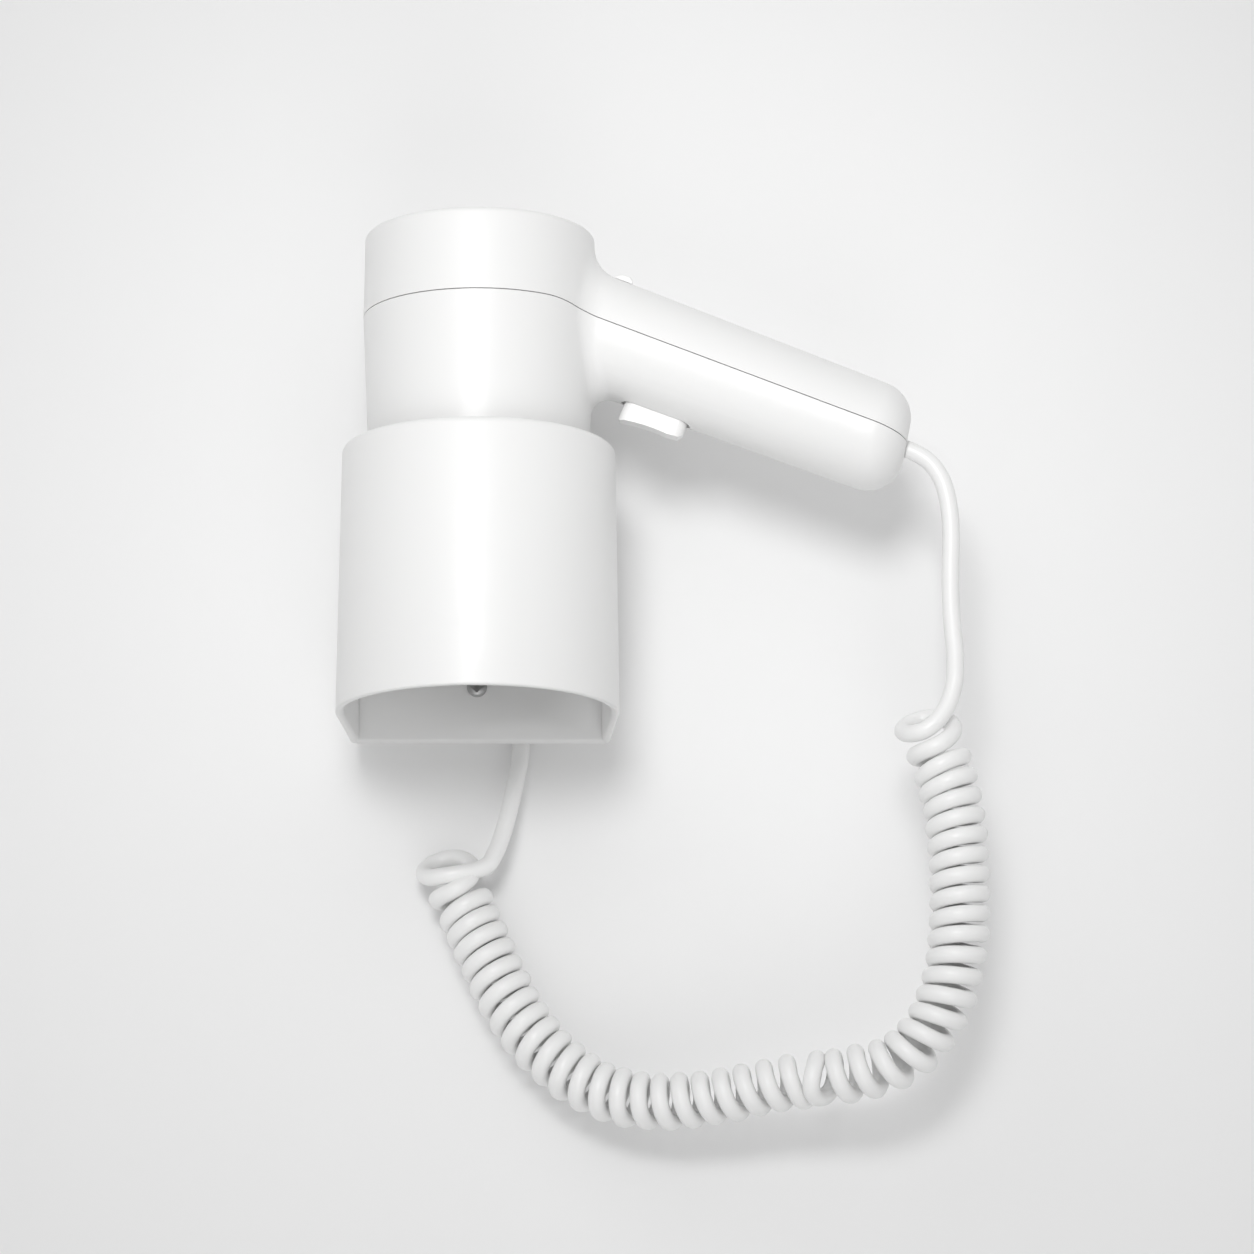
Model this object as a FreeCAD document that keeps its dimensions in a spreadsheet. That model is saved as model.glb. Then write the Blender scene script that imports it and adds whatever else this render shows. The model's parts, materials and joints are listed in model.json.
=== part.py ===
import FreeCAD, Part
import math
import os
import re

import Sketcher

# Wall-mounted hair dryer: a hand dryer standing nose down in a D-shaped holster, a wall
# plate behind the holster and a curly cord from the handle's end to the wall plate.
# Millimetres. The wall is the plane Y = 0 and the object is in front of it, at Y < 0.
# +X is to the right, along the handle, and +Z is up. The origin is the centre of the
# wall plate's four screw holes.

DIMENSIONS = {
    # barrel of the hand dryer, a body of revolution about a vertical axis
    "axis_depth": 62.0,
    "barrel_top": 122.0,
    "barrel_top_radius": 39.6,
    "seam_level": 92.8,
    "seam_radius": 40.0,
    "shoulder_level": 20.0,
    "shoulder_radius": 36.8,
    "nozzle_level": 8.0,
    "nozzle_radius": 31.0,
    "nozzle_end": -20.0,
    "nozzle_end_radius": 29.0,
    "skin": 2.2,
    "top_edge_radius": 2.2,
    "seam_gap": 0.35,
    # handle, an elliptical section swept along a line that slopes down from the barrel axis
    "handle_tilt": 21.2,
    "handle_root": 103.6,
    "handle_start": 18.0,
    "handle_reach": 157.0,
    "handle_deep_start": 20.6,
    "handle_wide_start": 17.4,
    "handle_deep_end": 19.1,
    "handle_wide_end": 17.0,
    "handle_end_slant": 10.0,
    "handle_end_round": 12.5,
    "handle_blend": 12.0,
    "handle_blend_low": 6.0,
    "seam_rise": 1.0,
    "seam_bend": 40.0,
    # air path
    "inlet_radius": 33.5,
    "rotor_gap": 1.6,
    "fan_level": 97.0,
    "fan_height": 14.0,
    "fan_hub_radius": 15.0,
    "fan_radius": 35.4,
    "motor_radius": 13.8,
    "motor_level": 62.0,
    "motor_length": 30.0,
    "shaft_radius": 1.0,
    "bearing_gap": 0.05,
    "heater_level": 18.0,
    "heater_height": 38.0,
    "shield_radius": 32.0,
    # trigger and heat switch on the handle
    "trigger_start": 61.3,
    "trigger_length": 22.8,
    "trigger_width": 6.4,
    "trigger_travel": 2.5,
    "slot_gap": 0.4,
    "slot_room": 1.2,
    "knob_start": 42.3,
    "knob_length": 6.2,
    "knob_width": 6.4,
    "knob_gap": 0.15,
    "knob_travel": 5.0,
    # holster and wall plate
    "holster_top": 46.5,
    "holster_radius_top": 46.8,
    "holster_radius_low": 48.3,
    "flat_half_top": 43.3,
    "flat_half_low": 44.9,
    "back_gap": 14.0,
    "holster_skin": 2.8,
    "rim_round": 2.4,
    "foot_bevel": 1.3,
    "seat_gap": 0.45,
    "plate_half_width": 34.0,
    "plate_top": 38.0,
    "plate_bottom": -41.0,
    "plate_skin": 2.5,
    "wall_hole_x": 27.0,
    "wall_hole_z": 22.0,
    "wall_hole_radius": 2.3,
    "screw_radius": 1.45,
    "screw_head_radius": 3.5,
    "low_screw_x": -1.3,
    "low_screw_z": -27.0,
    "high_screw_x": 24.0,
    "high_screw_z": 30.0,
    # cord
    "flex_radius": 3.0,
    "flex_x": 14.0,
    "flex_depth": 8.2,
    "coil_radius": 10.5,
}

# Routes of the free cord. The tail leaves the handle's end, the coil hangs in a deep U
# and the second tail runs up behind the holster into the wall plate.
HANDLE_TAIL = [
    (146.375, -62.0, 46.826),
    (152.6, -62.0, 44.411),
    (158.3, -62.3, 37.6),
    (160.9, -62.6, 28.6),
    (161.8, -63.0, 17.0),
    (161.1, -63.4, 3.0),
    (161.2, -63.8, -13.0),
    (163.0, -64.4, -31.0),
    (161.4, -65.4, -45.0),
]
COIL = [
    (153.6, -60.0, -51.5),
    (159.6, -60.5, -66.8),
    (162.8, -61.0, -88.0),
    (163.5, -61.0, -108.0),
    (162.5, -60.5, -130.0),
    (156.4, -59.0, -150.1),
    (144.0, -56.0, -164.8),
    (126.0, -51.0, -168.6),
    (104.0, -44.5, -169.8),
    (82.0, -38.0, -174.0),
    (59.0, -31.5, -175.3),
    (39.3, -26.0, -169.7),
    (22.6, -22.0, -156.3),
    (10.4, -19.0, -139.1),
    (1.4, -17.0, -119.0),
    (-5.0, -15.5, -104.3),
    (-10.0, -14.5, -93.0),
]
HOLSTER_TAIL = [
    (-3.5, -21.0, -97.0),
    (3.6, -17.5, -89.5),
    (8.6, -12.8, -75.5),
    (12.2, -9.4, -60.0),
    (14.0, -8.2, -50.5),
    (14.0, -8.2, -43.05),
]

vector = FreeCAD.Vector
doc = FreeCAD.newDocument("hair_dryer")
sheet = doc.addObject("Spreadsheet::Sheet", "Dims")
nodes = []


def fill_sheet():
    for row, (name, number) in enumerate(DIMENSIONS.items(), start=1):
        sheet.set(f"A{row}", name)
        sheet.set(f"B{row}", str(number))
        sheet.setAlias(f"B{row}", name)
    doc.recompute()


# Expressions and placing


def formula(text):
    """Puts the sheet's name before every dimension in an expression."""
    return re.sub(r"[a-z_]+", lambda m: "Dims." + m.group() if m.group() in DIMENSIONS else m.group(),
                  str(text))


def size(text):
    """The present value of an expression, as a float."""
    return float(sheet.evalExpression(formula(text)))


def bind(item, **sizes):
    for name, text in sizes.items():
        item.setExpression(name, formula(text))
    return item


def place(item, x=0, y=0, z=0, axis=(0, 0, 1), angle=0):
    """Binds an item's place: a base point and a turn about one axis."""
    item.Placement = FreeCAD.Placement(vector(0, 0, 0), FreeCAD.Rotation(vector(*axis), 10))
    for name, text in (("Base.x", x), ("Base.y", y), ("Base.z", z), ("Rotation.Angle", angle)):
        item.setExpression("Placement." + name, formula(text))
    return item


def on_axis(item, z=0, axis=(0, 0, 1), angle=0):
    """Places an item on the barrel's axis."""
    return place(item, 0, "-axis_depth", z, axis, angle)


def on_handle(item, along=0, across=0, up=0, turn=0):
    """Places an item in the handle's frame: X along the handle, Z out of its upper side."""
    x = f"({along}) * cos(handle_tilt) + ({up}) * sin(handle_tilt)"
    z = f"handle_root - ({along}) * sin(handle_tilt) + ({up}) * cos(handle_tilt)"
    return place(item, x, f"({across}) - axis_depth", z, (0, 1, 0), f"handle_tilt + {turn}")


# PartDesign bodies


def new_body(name):
    return doc.addObject("PartDesign::Body", name)


def sketch_on(body, plane, offset=0):
    """A sketch on one of the body's origin planes, moved along the plane's normal."""
    sketch = body.newObject("Sketcher::SketchObject", body.Name + "_sketch")
    support = next(item for item in body.Origin.OriginFeatures if item.Role == plane)
    sketch.AttachmentSupport = [(support, "")]
    sketch.MapMode = "FlatFace"
    sketch.setExpression("AttachmentOffset.Base.z", formula(offset))
    return sketch


def fix(sketch, element, point, x, y):
    """Holds a sketch point at a pair of bound coordinates."""
    for kind, text in (("DistanceX", x), ("DistanceY", y)):
        number = sketch.addConstraint(Sketcher.Constraint(kind, -1, 1, element, point, size(text)))
        sketch.setExpression(f"Constraints[{number}]", formula(text))


def add_outline(sketch, corners):
    """A closed outline of straight lines through corners given as expressions."""
    points = [vector(size(x), size(y), 0) for x, y in corners]
    count = len(points)
    first = sketch.GeometryCount
    for number in range(count):
        sketch.addGeometry(Part.LineSegment(points[number], points[(number + 1) % count]), False)
    for number in range(count):
        follower = first + (number + 1) % count
        sketch.addConstraint(Sketcher.Constraint("Coincident", first + number, 2, follower, 1))
    for number, (x, y) in enumerate(corners):
        fix(sketch, first + number, 1, x, y)


def add_circle(sketch, x, y, radius):
    centre = vector(size(x), size(y), 0)
    number = sketch.addGeometry(Part.Circle(centre, vector(0, 0, 1), size(radius)), False)
    fix(sketch, number, 3, x, y)
    constraint = sketch.addConstraint(Sketcher.Constraint("Radius", number, size(radius)))
    sketch.setExpression(f"Constraints[{constraint}]", formula(radius))


def box_corners(x_low, x_high, y_low, y_high):
    return [(x_low, y_low), (x_high, y_low), (x_high, y_high), (x_low, y_high)]


def extrude(body, kind, sketch, length, reverse=False, both_ways=False):
    feature = body.newObject("PartDesign::" + kind, body.Name + "_" + kind.lower())
    feature.Profile = sketch
    feature.Reversed = reverse
    feature.SideType = "Symmetric" if both_ways else "One side"
    bind(feature, Length=length)
    return feature


def pad(body, plane, corners, length, offset=0, reverse=False, both_ways=False):
    sketch = sketch_on(body, plane, offset)
    add_outline(sketch, corners)
    return extrude(body, "Pad", sketch, length, reverse, both_ways)


def pad_circles(body, plane, circles, length, offset=0, reverse=False):
    sketch = sketch_on(body, plane, offset)
    for circle in circles:
        add_circle(sketch, *circle)
    return extrude(body, "Pad", sketch, length, reverse)


def pocket(body, plane, corners, length, offset=0, reverse=False):
    before = solid_volume(body)
    sketch = sketch_on(body, plane, offset)
    add_outline(sketch, corners)
    feature = extrude(body, "Pocket", sketch, length, reverse)
    confirm_cut(body, before)
    return feature


def pocket_circles(body, plane, circles, length, offset=0, reverse=False):
    before = solid_volume(body)
    sketch = sketch_on(body, plane, offset)
    for circle in circles:
        add_circle(sketch, *circle)
    feature = extrude(body, "Pocket", sketch, length, reverse)
    confirm_cut(body, before)
    return feature


def turned(body, corners):
    """A revolution about the body's own Z axis of an outline given as (radius, height)."""
    sketch = sketch_on(body, "XZ_Plane")
    add_outline(sketch, corners)
    feature = body.newObject("PartDesign::Revolution", body.Name + "_revolution")
    feature.Profile = sketch
    feature.ReferenceAxis = (sketch, ["V_Axis"])
    feature.Angle = 360
    return feature


def polar(body, feature, count):
    """Repeats a feature round the body's own Z axis."""
    pattern = body.newObject("PartDesign::PolarPattern", body.Name + "_pattern")
    pattern.Originals = [feature]
    axis = next(item for item in body.Origin.OriginFeatures if item.Role == "Z_Axis")
    pattern.Axis = (axis, [""])
    pattern.Angle = 360
    pattern.Occurrences = count
    body.Tip = pattern
    return pattern


def soften(body, radius, wanted):
    """A fillet on the edges of the body's tip that pass a test."""
    doc.recompute()
    base = body.Tip
    feature = body.newObject("PartDesign::Fillet", body.Name + "_fillet")
    feature.Base = (base, [f"Edge{number}" for number in edges_where(base.Shape, wanted)])
    bind(feature, Radius=radius)
    body.Tip = feature
    return feature


# Shapes and checks


def solid_volume(body):
    doc.recompute()
    return body.Shape.Volume


def confirm_cut(body, before):
    after = solid_volume(body)
    if not after < before - 0.1:
        raise RuntimeError(f"{body.Name}: a pocket removed nothing ({before:.1f} to {after:.1f})")


def edges_where(shape, wanted):
    found = [number for number, edge in enumerate(shape.Edges, start=1) if wanted(edge)]
    if not found:
        raise RuntimeError("no edge passes the test")
    return found


def sampled(edge, test, count=7):
    return all(test(point) for point in edge.discretize(count))


def axis_distance(point):
    return math.hypot(point.x, point.y + size("axis_depth"))


# Part primitives and booleans


def primitive(kind, name, **sizes):
    return bind(doc.addObject("Part::" + kind, name), **sizes)


def cut(name, base, *tools):
    if len(tools) == 1:
        tool = tools[0]
    else:
        tool = fuse(name + "_tools", *tools)
    item = doc.addObject("Part::Cut", name)
    item.Base = base
    item.Tool = tool
    return item


def fuse(name, *shapes):
    item = doc.addObject("Part::MultiFuse", name)
    item.Shapes = list(shapes)
    return item


def common(name, *shapes):
    item = doc.addObject("Part::MultiCommon", name)
    item.Shapes = list(shapes)
    return item


def round_edges(name, base, radius, wanted):
    doc.recompute()
    item = doc.addObject("Part::Fillet", name)
    item.Base = base
    length = size(radius)
    item.Edges = [(number, length, length) for number in edges_where(base.Shape, wanted)]
    return item


def copies(name, original, places):
    """A group of separate, identical solids, each a placed link to one original."""
    links = []
    for number, (placer, arguments) in enumerate(places, start=1):
        link = doc.addObject("App::Link", f"{name}_{number}")
        link.LinkedObject = original
        placer(link, **arguments)
        links.append(link)
    group = doc.addObject("Part::Compound", name)
    group.Links = links
    return group


def node(item, name):
    """Makes an item a sub-part of the object, written to its own file."""
    item.Label = name
    nodes.append(item)
    return item


# Shapes shared by the two housings


def barrel_form(name, inset, top, low_end):
    """The barrel's outer form, or a smaller one inside it."""
    body = new_body(name)
    turned(body, [
        ("0", top),
        (f"barrel_top_radius - {inset}", top),
        (f"seam_radius - {inset}", "seam_level"),
        (f"shoulder_radius - {inset}", "shoulder_level"),
        (f"nozzle_radius - {inset}", "nozzle_level"),
        (f"nozzle_end_radius - {inset}", low_end),
        ("0", low_end),
    ])
    return on_axis(body, angle="180")


def handle_form(name, inset):
    """The handle as a tapering elliptical bar with a slanted, rounded end. Each section is four
    arcs that meet halfway between the ellipse's axes."""
    sections = []
    for number, (along, deep, wide, turn) in enumerate((
        ("handle_start", "handle_deep_start", "handle_wide_start", "-90"),
        (f"handle_reach - {inset}", "handle_deep_end", "handle_wide_end", "-90 - handle_end_slant"),
    ), start=1):
        arcs = []
        for quarter in range(4):
            arc = primitive(
                "Ellipse", f"{name}_arc_{number}_{quarter + 1}",
                MajorRadius=f"{deep} - {inset}", MinorRadius=f"{wide} - {inset}",
                Angle1=f"{quarter} * 90 + 45", Angle2=f"{quarter} * 90 + 135",
            )
            arcs.append(on_handle(arc, along, turn=turn))
        section = doc.addObject("Part::Compound", f"{name}_section_{number}")
        section.Links = arcs
        sections.append(section)
    loft = doc.addObject("Part::Loft", name + "_loft")
    loft.Sections = sections
    loft.Solid = True
    loft.Ruled = True
    far_side = size("axis_depth") * 2
    return round_edges(
        name, loft, f"handle_end_round - {inset}",
        lambda edge: sampled(edge, lambda point: point.x > far_side),
    )


def parting_block(name, rise, limit):
    """Everything on one side of the parting surface, as far as the level given. The surface is
    level across the barrel, bends and then follows the handle; it is ruled along Y."""
    body = new_body(name)
    kink = "(handle_root + seam_rise / cos(handle_tilt) - seam_level) / tan(handle_tilt)"
    far = "handle_reach + 20"
    low = f"handle_root + seam_rise / cos(handle_tilt) - ({far}) * tan(handle_tilt) + ({rise})"
    pad(body, "XZ_Plane", [
        ("-1.5 * seam_radius", f"seam_level + ({rise})"),
        (kink, f"seam_level + ({rise})"),
        (far, low),
        (far, limit),
        ("-1.5 * seam_radius", limit),
    ], "3 * seam_radius", both_ways=True)
    bend = size(kink)
    level = size(f"seam_level + ({rise})")
    soften(body, "seam_bend", lambda edge: sampled(
        edge, lambda point: abs(point.x - bend) < 0.01 and abs(point.z - level) < 0.01))
    return on_axis(body)


def blended_outside(name):
    """Barrel and handle with a round blend where they meet."""
    barrel = barrel_form(name + "_barrel", "0", "barrel_top", "nozzle_end")
    top = size("barrel_top")
    soften(barrel, "top_edge_radius", lambda edge: sampled(edge, lambda point: point.z > top - 0.01))
    joined = fuse(name + "_joined", barrel, handle_form(name + "_handle", "0"))
    limit = size("seam_radius")
    lowest = size("holster_top") + 10

    def meets_barrel(edge):
        on_skin = sampled(edge, lambda point: 0.8 * limit < axis_distance(point) < 1.02 * limit
                          and point.x > 20)
        return on_skin and edge.Length > 3 and edge.CenterOfMass.z > lowest

    doc.recompute()
    middle = size("handle_root - seam_radius * tan(handle_tilt)")
    blend = doc.addObject("Part::Fillet", name)
    blend.Base = joined
    edges = []
    for number in edges_where(joined.Shape, meets_barrel):
        ends = joined.Shape.Edges[number - 1].Vertexes
        edges.append((number, *(size("handle_blend" if end.Z > middle else "handle_blend_low")
                                for end in ends)))
    blend.Edges = edges
    return blend


def hollow_around(name, posts):
    """The room inside the skin, less the posts that stand in it."""
    space = fuse(
        name + "_space",
        barrel_form(name + "_barrel", "skin", "barrel_top - skin", "nozzle_end - 1"),
        handle_form(name + "_handle", "skin"),
    )
    return cut(name, space, *posts)


HOUSING_SCREWS = ("96", "114")
CLAMP_ALONG = "135"
CLAMP_ACROSS = "6.5"


def handle_post(name, radius, along, across, low, high):
    """A round post or hole across the handle, from one height to another."""
    cylinder = primitive("Cylinder", name, Radius=radius, Height=f"({high}) - ({low})")
    return on_handle(cylinder, along, across, low)


def handle_box(name, along, across_half, low, high):
    box = primitive("Box", name, Length=f"({along[1]}) - ({along[0]})", Width=f"2 * ({across_half})",
                    Height=f"({high}) - ({low})")
    return on_handle(box, along[0], f"-({across_half})", low)


def rounded_bar(name, start, end, half, low, high):
    """The pieces of a bar with half-round ends: a box and a post at each end."""
    middles = (f"{start} + {half}", f"{end} - ({half})")
    return [handle_box(name + "_bar", middles, half, low, high),
            handle_post(name + "_first_end", half, middles[0], "0", low, high),
            handle_post(name + "_last_end", half, middles[1], "0", low, high)]


def end_hole(name, radius, start, end):
    """A round hole along the handle's own line."""
    cylinder = primitive("Cylinder", name, Radius=radius, Height=f"({end}) - ({start})")
    return on_handle(cylinder, start, turn="90")


def flex_exit(name):
    """The hole for the supply cord and the seat of its bush, at the handle's end."""
    return [
        end_hole(name + "_flex_hole", "flex_radius + 0.3", "handle_reach - 5", "handle_reach + 5"),
        end_hole(name + "_bush_seat", "4.6", "handle_reach - 8", "handle_reach - 1.2"),
    ]


def make_housings():
    """The skin of barrel and handle in two parts, split along the seam. Each part is its own
    blended form with everything that is not plastic taken away in one cut."""
    posts = [handle_post(f"rear_post_{along}", "3.6", along, "0", "seam_rise + 0.2", "18.4")
             for along in HOUSING_SCREWS]
    inlet = on_axis(primitive("Cylinder", "inlet_hole", Radius="inlet_radius", Height="10"), "barrel_top - 5")
    knob_slot = handle_box(
        "knob_slot", ("knob_start + 0.9",
                      "knob_start + 4.9 + knob_travel"), "knob_width / 2 - 1.3", "12", "26")
    wells = []
    for along in HOUSING_SCREWS:
        wells.append(handle_post(f"well_{along}", "3.1", along, "0", "10", "26"))
        wells.append(handle_post(f"clear_hole_{along}", "screw_radius + 0.25", along, "0", "0", "10"))
    rear = cut(
        "rear_cut", blended_outside("rear_outside"),
        hollow_around("rear_hollow", posts), parting_block("below_seam", "seam_gap / 2", "-60"),
        inlet, knob_slot, *flex_exit("rear"), *wells,
    )
    node(rear, "rear_housing")

    posts = [handle_post(f"front_post_{along}", "3.6", along, "0", "-18.4", "seam_rise - 0.2")
             for along in HOUSING_SCREWS]
    posts += [handle_post(f"clamp_post_{number}", "2.2", CLAMP_ALONG, across, "-15.5", "2.9")
              for number, across in enumerate((CLAMP_ACROSS, "-" + CLAMP_ACROSS), start=1)]
    trigger_slot = rounded_bar("trigger_slot", "trigger_start - slot_room",
                               "trigger_start + trigger_length + slot_room",
                               "trigger_width / 2 + slot_gap", "-34", "-12")
    pilots = [handle_post(f"pilot_{along}", "screw_radius", along, "0", "-9", "5")
              for along in HOUSING_SCREWS]
    pilots += [handle_post(f"clamp_pilot_{number}", "1.1", CLAMP_ALONG, across, "-4", "5")
               for number, across in enumerate((CLAMP_ACROSS, "-" + CLAMP_ACROSS), start=1)]
    front = cut(
        "front_cut", blended_outside("front_outside"),
        hollow_around("front_hollow", posts), parting_block("above_seam", "-seam_gap / 2",
                                                            "1.3 * barrel_top"),
        *trigger_slot, *flex_exit("front"), *pilots,
    )
    node(front, "front_housing")


# Fasteners


def screw_body(name, radius, length, head_radius, head_height):
    """A pan-head screw along Z, its head above Z = 0, with a cross recess."""
    body = new_body(name)
    turned(body, [
        ("0", f"-({length})"),
        (f"{radius} - 0.4", f"-({length})"),
        (radius, f"1 - ({length})"),
        (radius, "0"),
        (head_radius, "0"),
        (head_radius, f"0.45 * {head_height}"),
        (f"0.86 * {head_radius}", f"0.8 * {head_height}"),
        (f"0.5 * {head_radius}", head_height),
        ("0", head_height),
    ])
    arm = f"0.62 * {head_radius}"
    half = f"0.14 * {head_radius}"
    for corners in (box_corners(f"-{arm}", arm, f"-{half}", half),
                    box_corners(f"-{half}", half, f"-{arm}", arm)):
        pocket(body, "XY_Plane", corners, f"0.5 * {head_height}", head_height)
    return body


# The hand dryer's pieces


def ringed_disc(body, level, height, rings, spoke, count):
    """Rings and spokes in one plane: each ring is (outer, inner) and the spoke (start, end, half width)."""
    start, end, half = spoke
    arm = pad(body, "XY_Plane", box_corners(start, end, f"-{half}", half), height, level)
    polar(body, arm, count)
    circles = [("0", "0", radius) for ring in rings for radius in ring if radius != "0"]
    pad_circles(body, "XY_Plane", circles, height, level)


def make_air_path():
    grille = new_body("inlet_grille_body")
    foot = "barrel_top - skin - 1.6"
    ringed_disc(grille, foot, "2.6", [("inlet_radius - 0.3", "31"), ("27", "25.4"), ("21", "19.4"),
                                      ("15", "13.4"), ("8", "0")], ("6", "32", "1"), 8)
    pad_circles(grille, "XY_Plane", [("0", "0", "inlet_radius + 2"), ("0", "0", "31")], "1.6", foot)
    node(on_axis(grille), "inlet_grille")

    dust = new_body("dust_filter_body")
    pad_circles(dust, "XY_Plane", [("0", "0", "34")], "0.8", "barrel_top - 5.4")
    before = solid_volume(dust)
    sketch = sketch_on(dust, "XY_Plane", "barrel_top - 4.6")
    for start, end, half in (("7", "14", "0.8"), ("15.5", "22.5", "1.6"), ("24", "31.5", "2.6")):
        add_outline(sketch, box_corners(start, end, f"-{half}", half))
    polar(dust, extrude(dust, "Pocket", sketch, "2"), 18)
    confirm_cut(dust, before)
    node(on_axis(dust), "dust_filter")

    outlet = new_body("outlet_grille_body")
    ringed_disc(outlet, "nozzle_end + 2", "2.4", [("26.4", "24.8"), ("19.4", "18"), ("12.4", "11"),
                                                  ("5", "0")],
                ("4", "25.5", "0.7"), 6)
    node(on_axis(outlet), "outlet_grille")

    shield = new_body("heat_shield_body")
    inner = "shield_radius - 0.6"
    top = "heater_level + heater_height"
    turned(shield, [
        (inner, "heater_level - 0.5"),
        ("shield_radius", "heater_level - 0.5"),
        ("shield_radius", f"{top} - 0.8"),
        ("shield_radius + 3.8", f"{top} - 0.8"),
        ("shield_radius + 3.8", top),
        (inner, top),
    ])
    node(on_axis(shield), "heat_shield")


HEATER_TURNS = 5


def make_heater():
    boards = new_body("heater_boards")
    reach = "shield_radius - 0.8"
    for corners in (box_corners(f"-({reach})", reach, "-0.4", "0.4"),
                    box_corners("-0.4", "0.4", f"-({reach})", reach)):
        pad(boards, "XY_Plane", corners, "heater_height", "heater_level")
    on_axis(boards)
    rings = []
    for turn in range(HEATER_TURNS):
        ring = primitive("Torus", f"heater_ring_{turn + 1}", Radius1="22", Radius2="0.9")
        level = f"heater_level + heater_height * {turn + 0.5} / {HEATER_TURNS}"
        rings.append(on_axis(ring, level))
    wire = doc.addObject("Part::Compound", "heater_rings")
    wire.Links = rings
    node(cut("heater_notched", boards, *rings), "heater_frame")
    node(wire, "heater_wire")

    top = "heater_level + heater_height"
    thermostat = new_body("thermostat_body")
    pad(thermostat, "XY_Plane", box_corners("20", "29", "-3", "3"), "4", top)
    pad_circles(thermostat, "XY_Plane", [("24.5", "0", "2.6")], "5.5", top)
    node(on_axis(thermostat), "thermostat")
    fuse_body = new_body("thermal_fuse_body")
    pad_circles(fuse_body, "XY_Plane", [("-24", "0", "0.5")], "12", top)
    pad_circles(fuse_body, "XY_Plane", [("-24", "0", "1.8")], "8", f"{top} + 2")
    node(on_axis(fuse_body), "thermal_fuse")


def make_motor():
    bracket = new_body("motor_bracket_body")
    vane = pad(bracket, "XY_Plane", box_corners("14.6", "35.6", "-0.7", "0.7"), "12", "motor_level + 10")
    polar(bracket, vane, 7)
    pad_circles(bracket, "XY_Plane", [("0", "0", "36.4"), ("0", "0", "34.9")], "16", "motor_level + 8")
    pad_circles(bracket, "XY_Plane", [("0", "0", "motor_radius + 1.5"), ("0", "0", "motor_radius + 0.05")],
                "24", "motor_level")
    node(on_axis(bracket), "motor_bracket")

    bore = "shaft_radius + bearing_gap"
    can = new_body("motor_can_body")
    top = "motor_level + motor_length"
    turned(can, [
        (bore, "motor_level"),
        ("motor_radius", "motor_level"),
        ("motor_radius", top),
        ("motor_radius - 1", top),
        ("motor_radius - 1", "motor_level + 1.2"),
        ("3.2", "motor_level + 1.2"),
        ("3.2", "motor_level + 3.6"),
        (bore, "motor_level + 3.6"),
    ])
    node(on_axis(can), "motor_can")

    cap = new_body("motor_end_cap_body")
    turned(cap, [
        (bore, f"{top} - 1.2"),
        ("motor_radius - 1.05", f"{top} - 1.2"),
        ("motor_radius - 1.05", top),
        ("motor_radius", top),
        ("motor_radius", f"{top} + 1.6"),
        ("3.2", f"{top} + 1.6"),
        ("3.2", f"{top} + 3.2"),
        (bore, f"{top} + 3.2"),
    ])
    node(on_axis(cap), "motor_end_cap")

    magnets = new_body("motor_magnets_body")
    pad_circles(magnets, "XY_Plane", [("0", "0", "motor_radius - 1.05"), ("0", "0", "motor_radius - 2.8")],
                "22", "motor_level + 4.2")
    pocket(magnets, "XY_Plane", box_corners("-14", "14", "-3.6", "3.6"), "24", "motor_level + 3",
           reverse=True)
    node(on_axis(magnets), "motor_magnets")

    board = new_body("rectifier_board_body")
    pad_circles(board, "XY_Plane", [("0", "0", "12")], "1.2", "motor_level - 4.4")
    for x in ("-6.5", "-2.2", "2.2", "6.5"):
        pad(board, "XY_Plane", box_corners(f"{x} - 1.1", f"{x} + 1.1", "4", "8.6"), "1.8",
            "motor_level - 3.2")
    for x in ("-9", "9"):
        pad(board, "XY_Plane", box_corners(f"{x} - 0.4", f"{x} + 0.4", "-2", "2"), "3.2", "motor_level - 3.2")
    node(on_axis(board), "rectifier_board")


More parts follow.
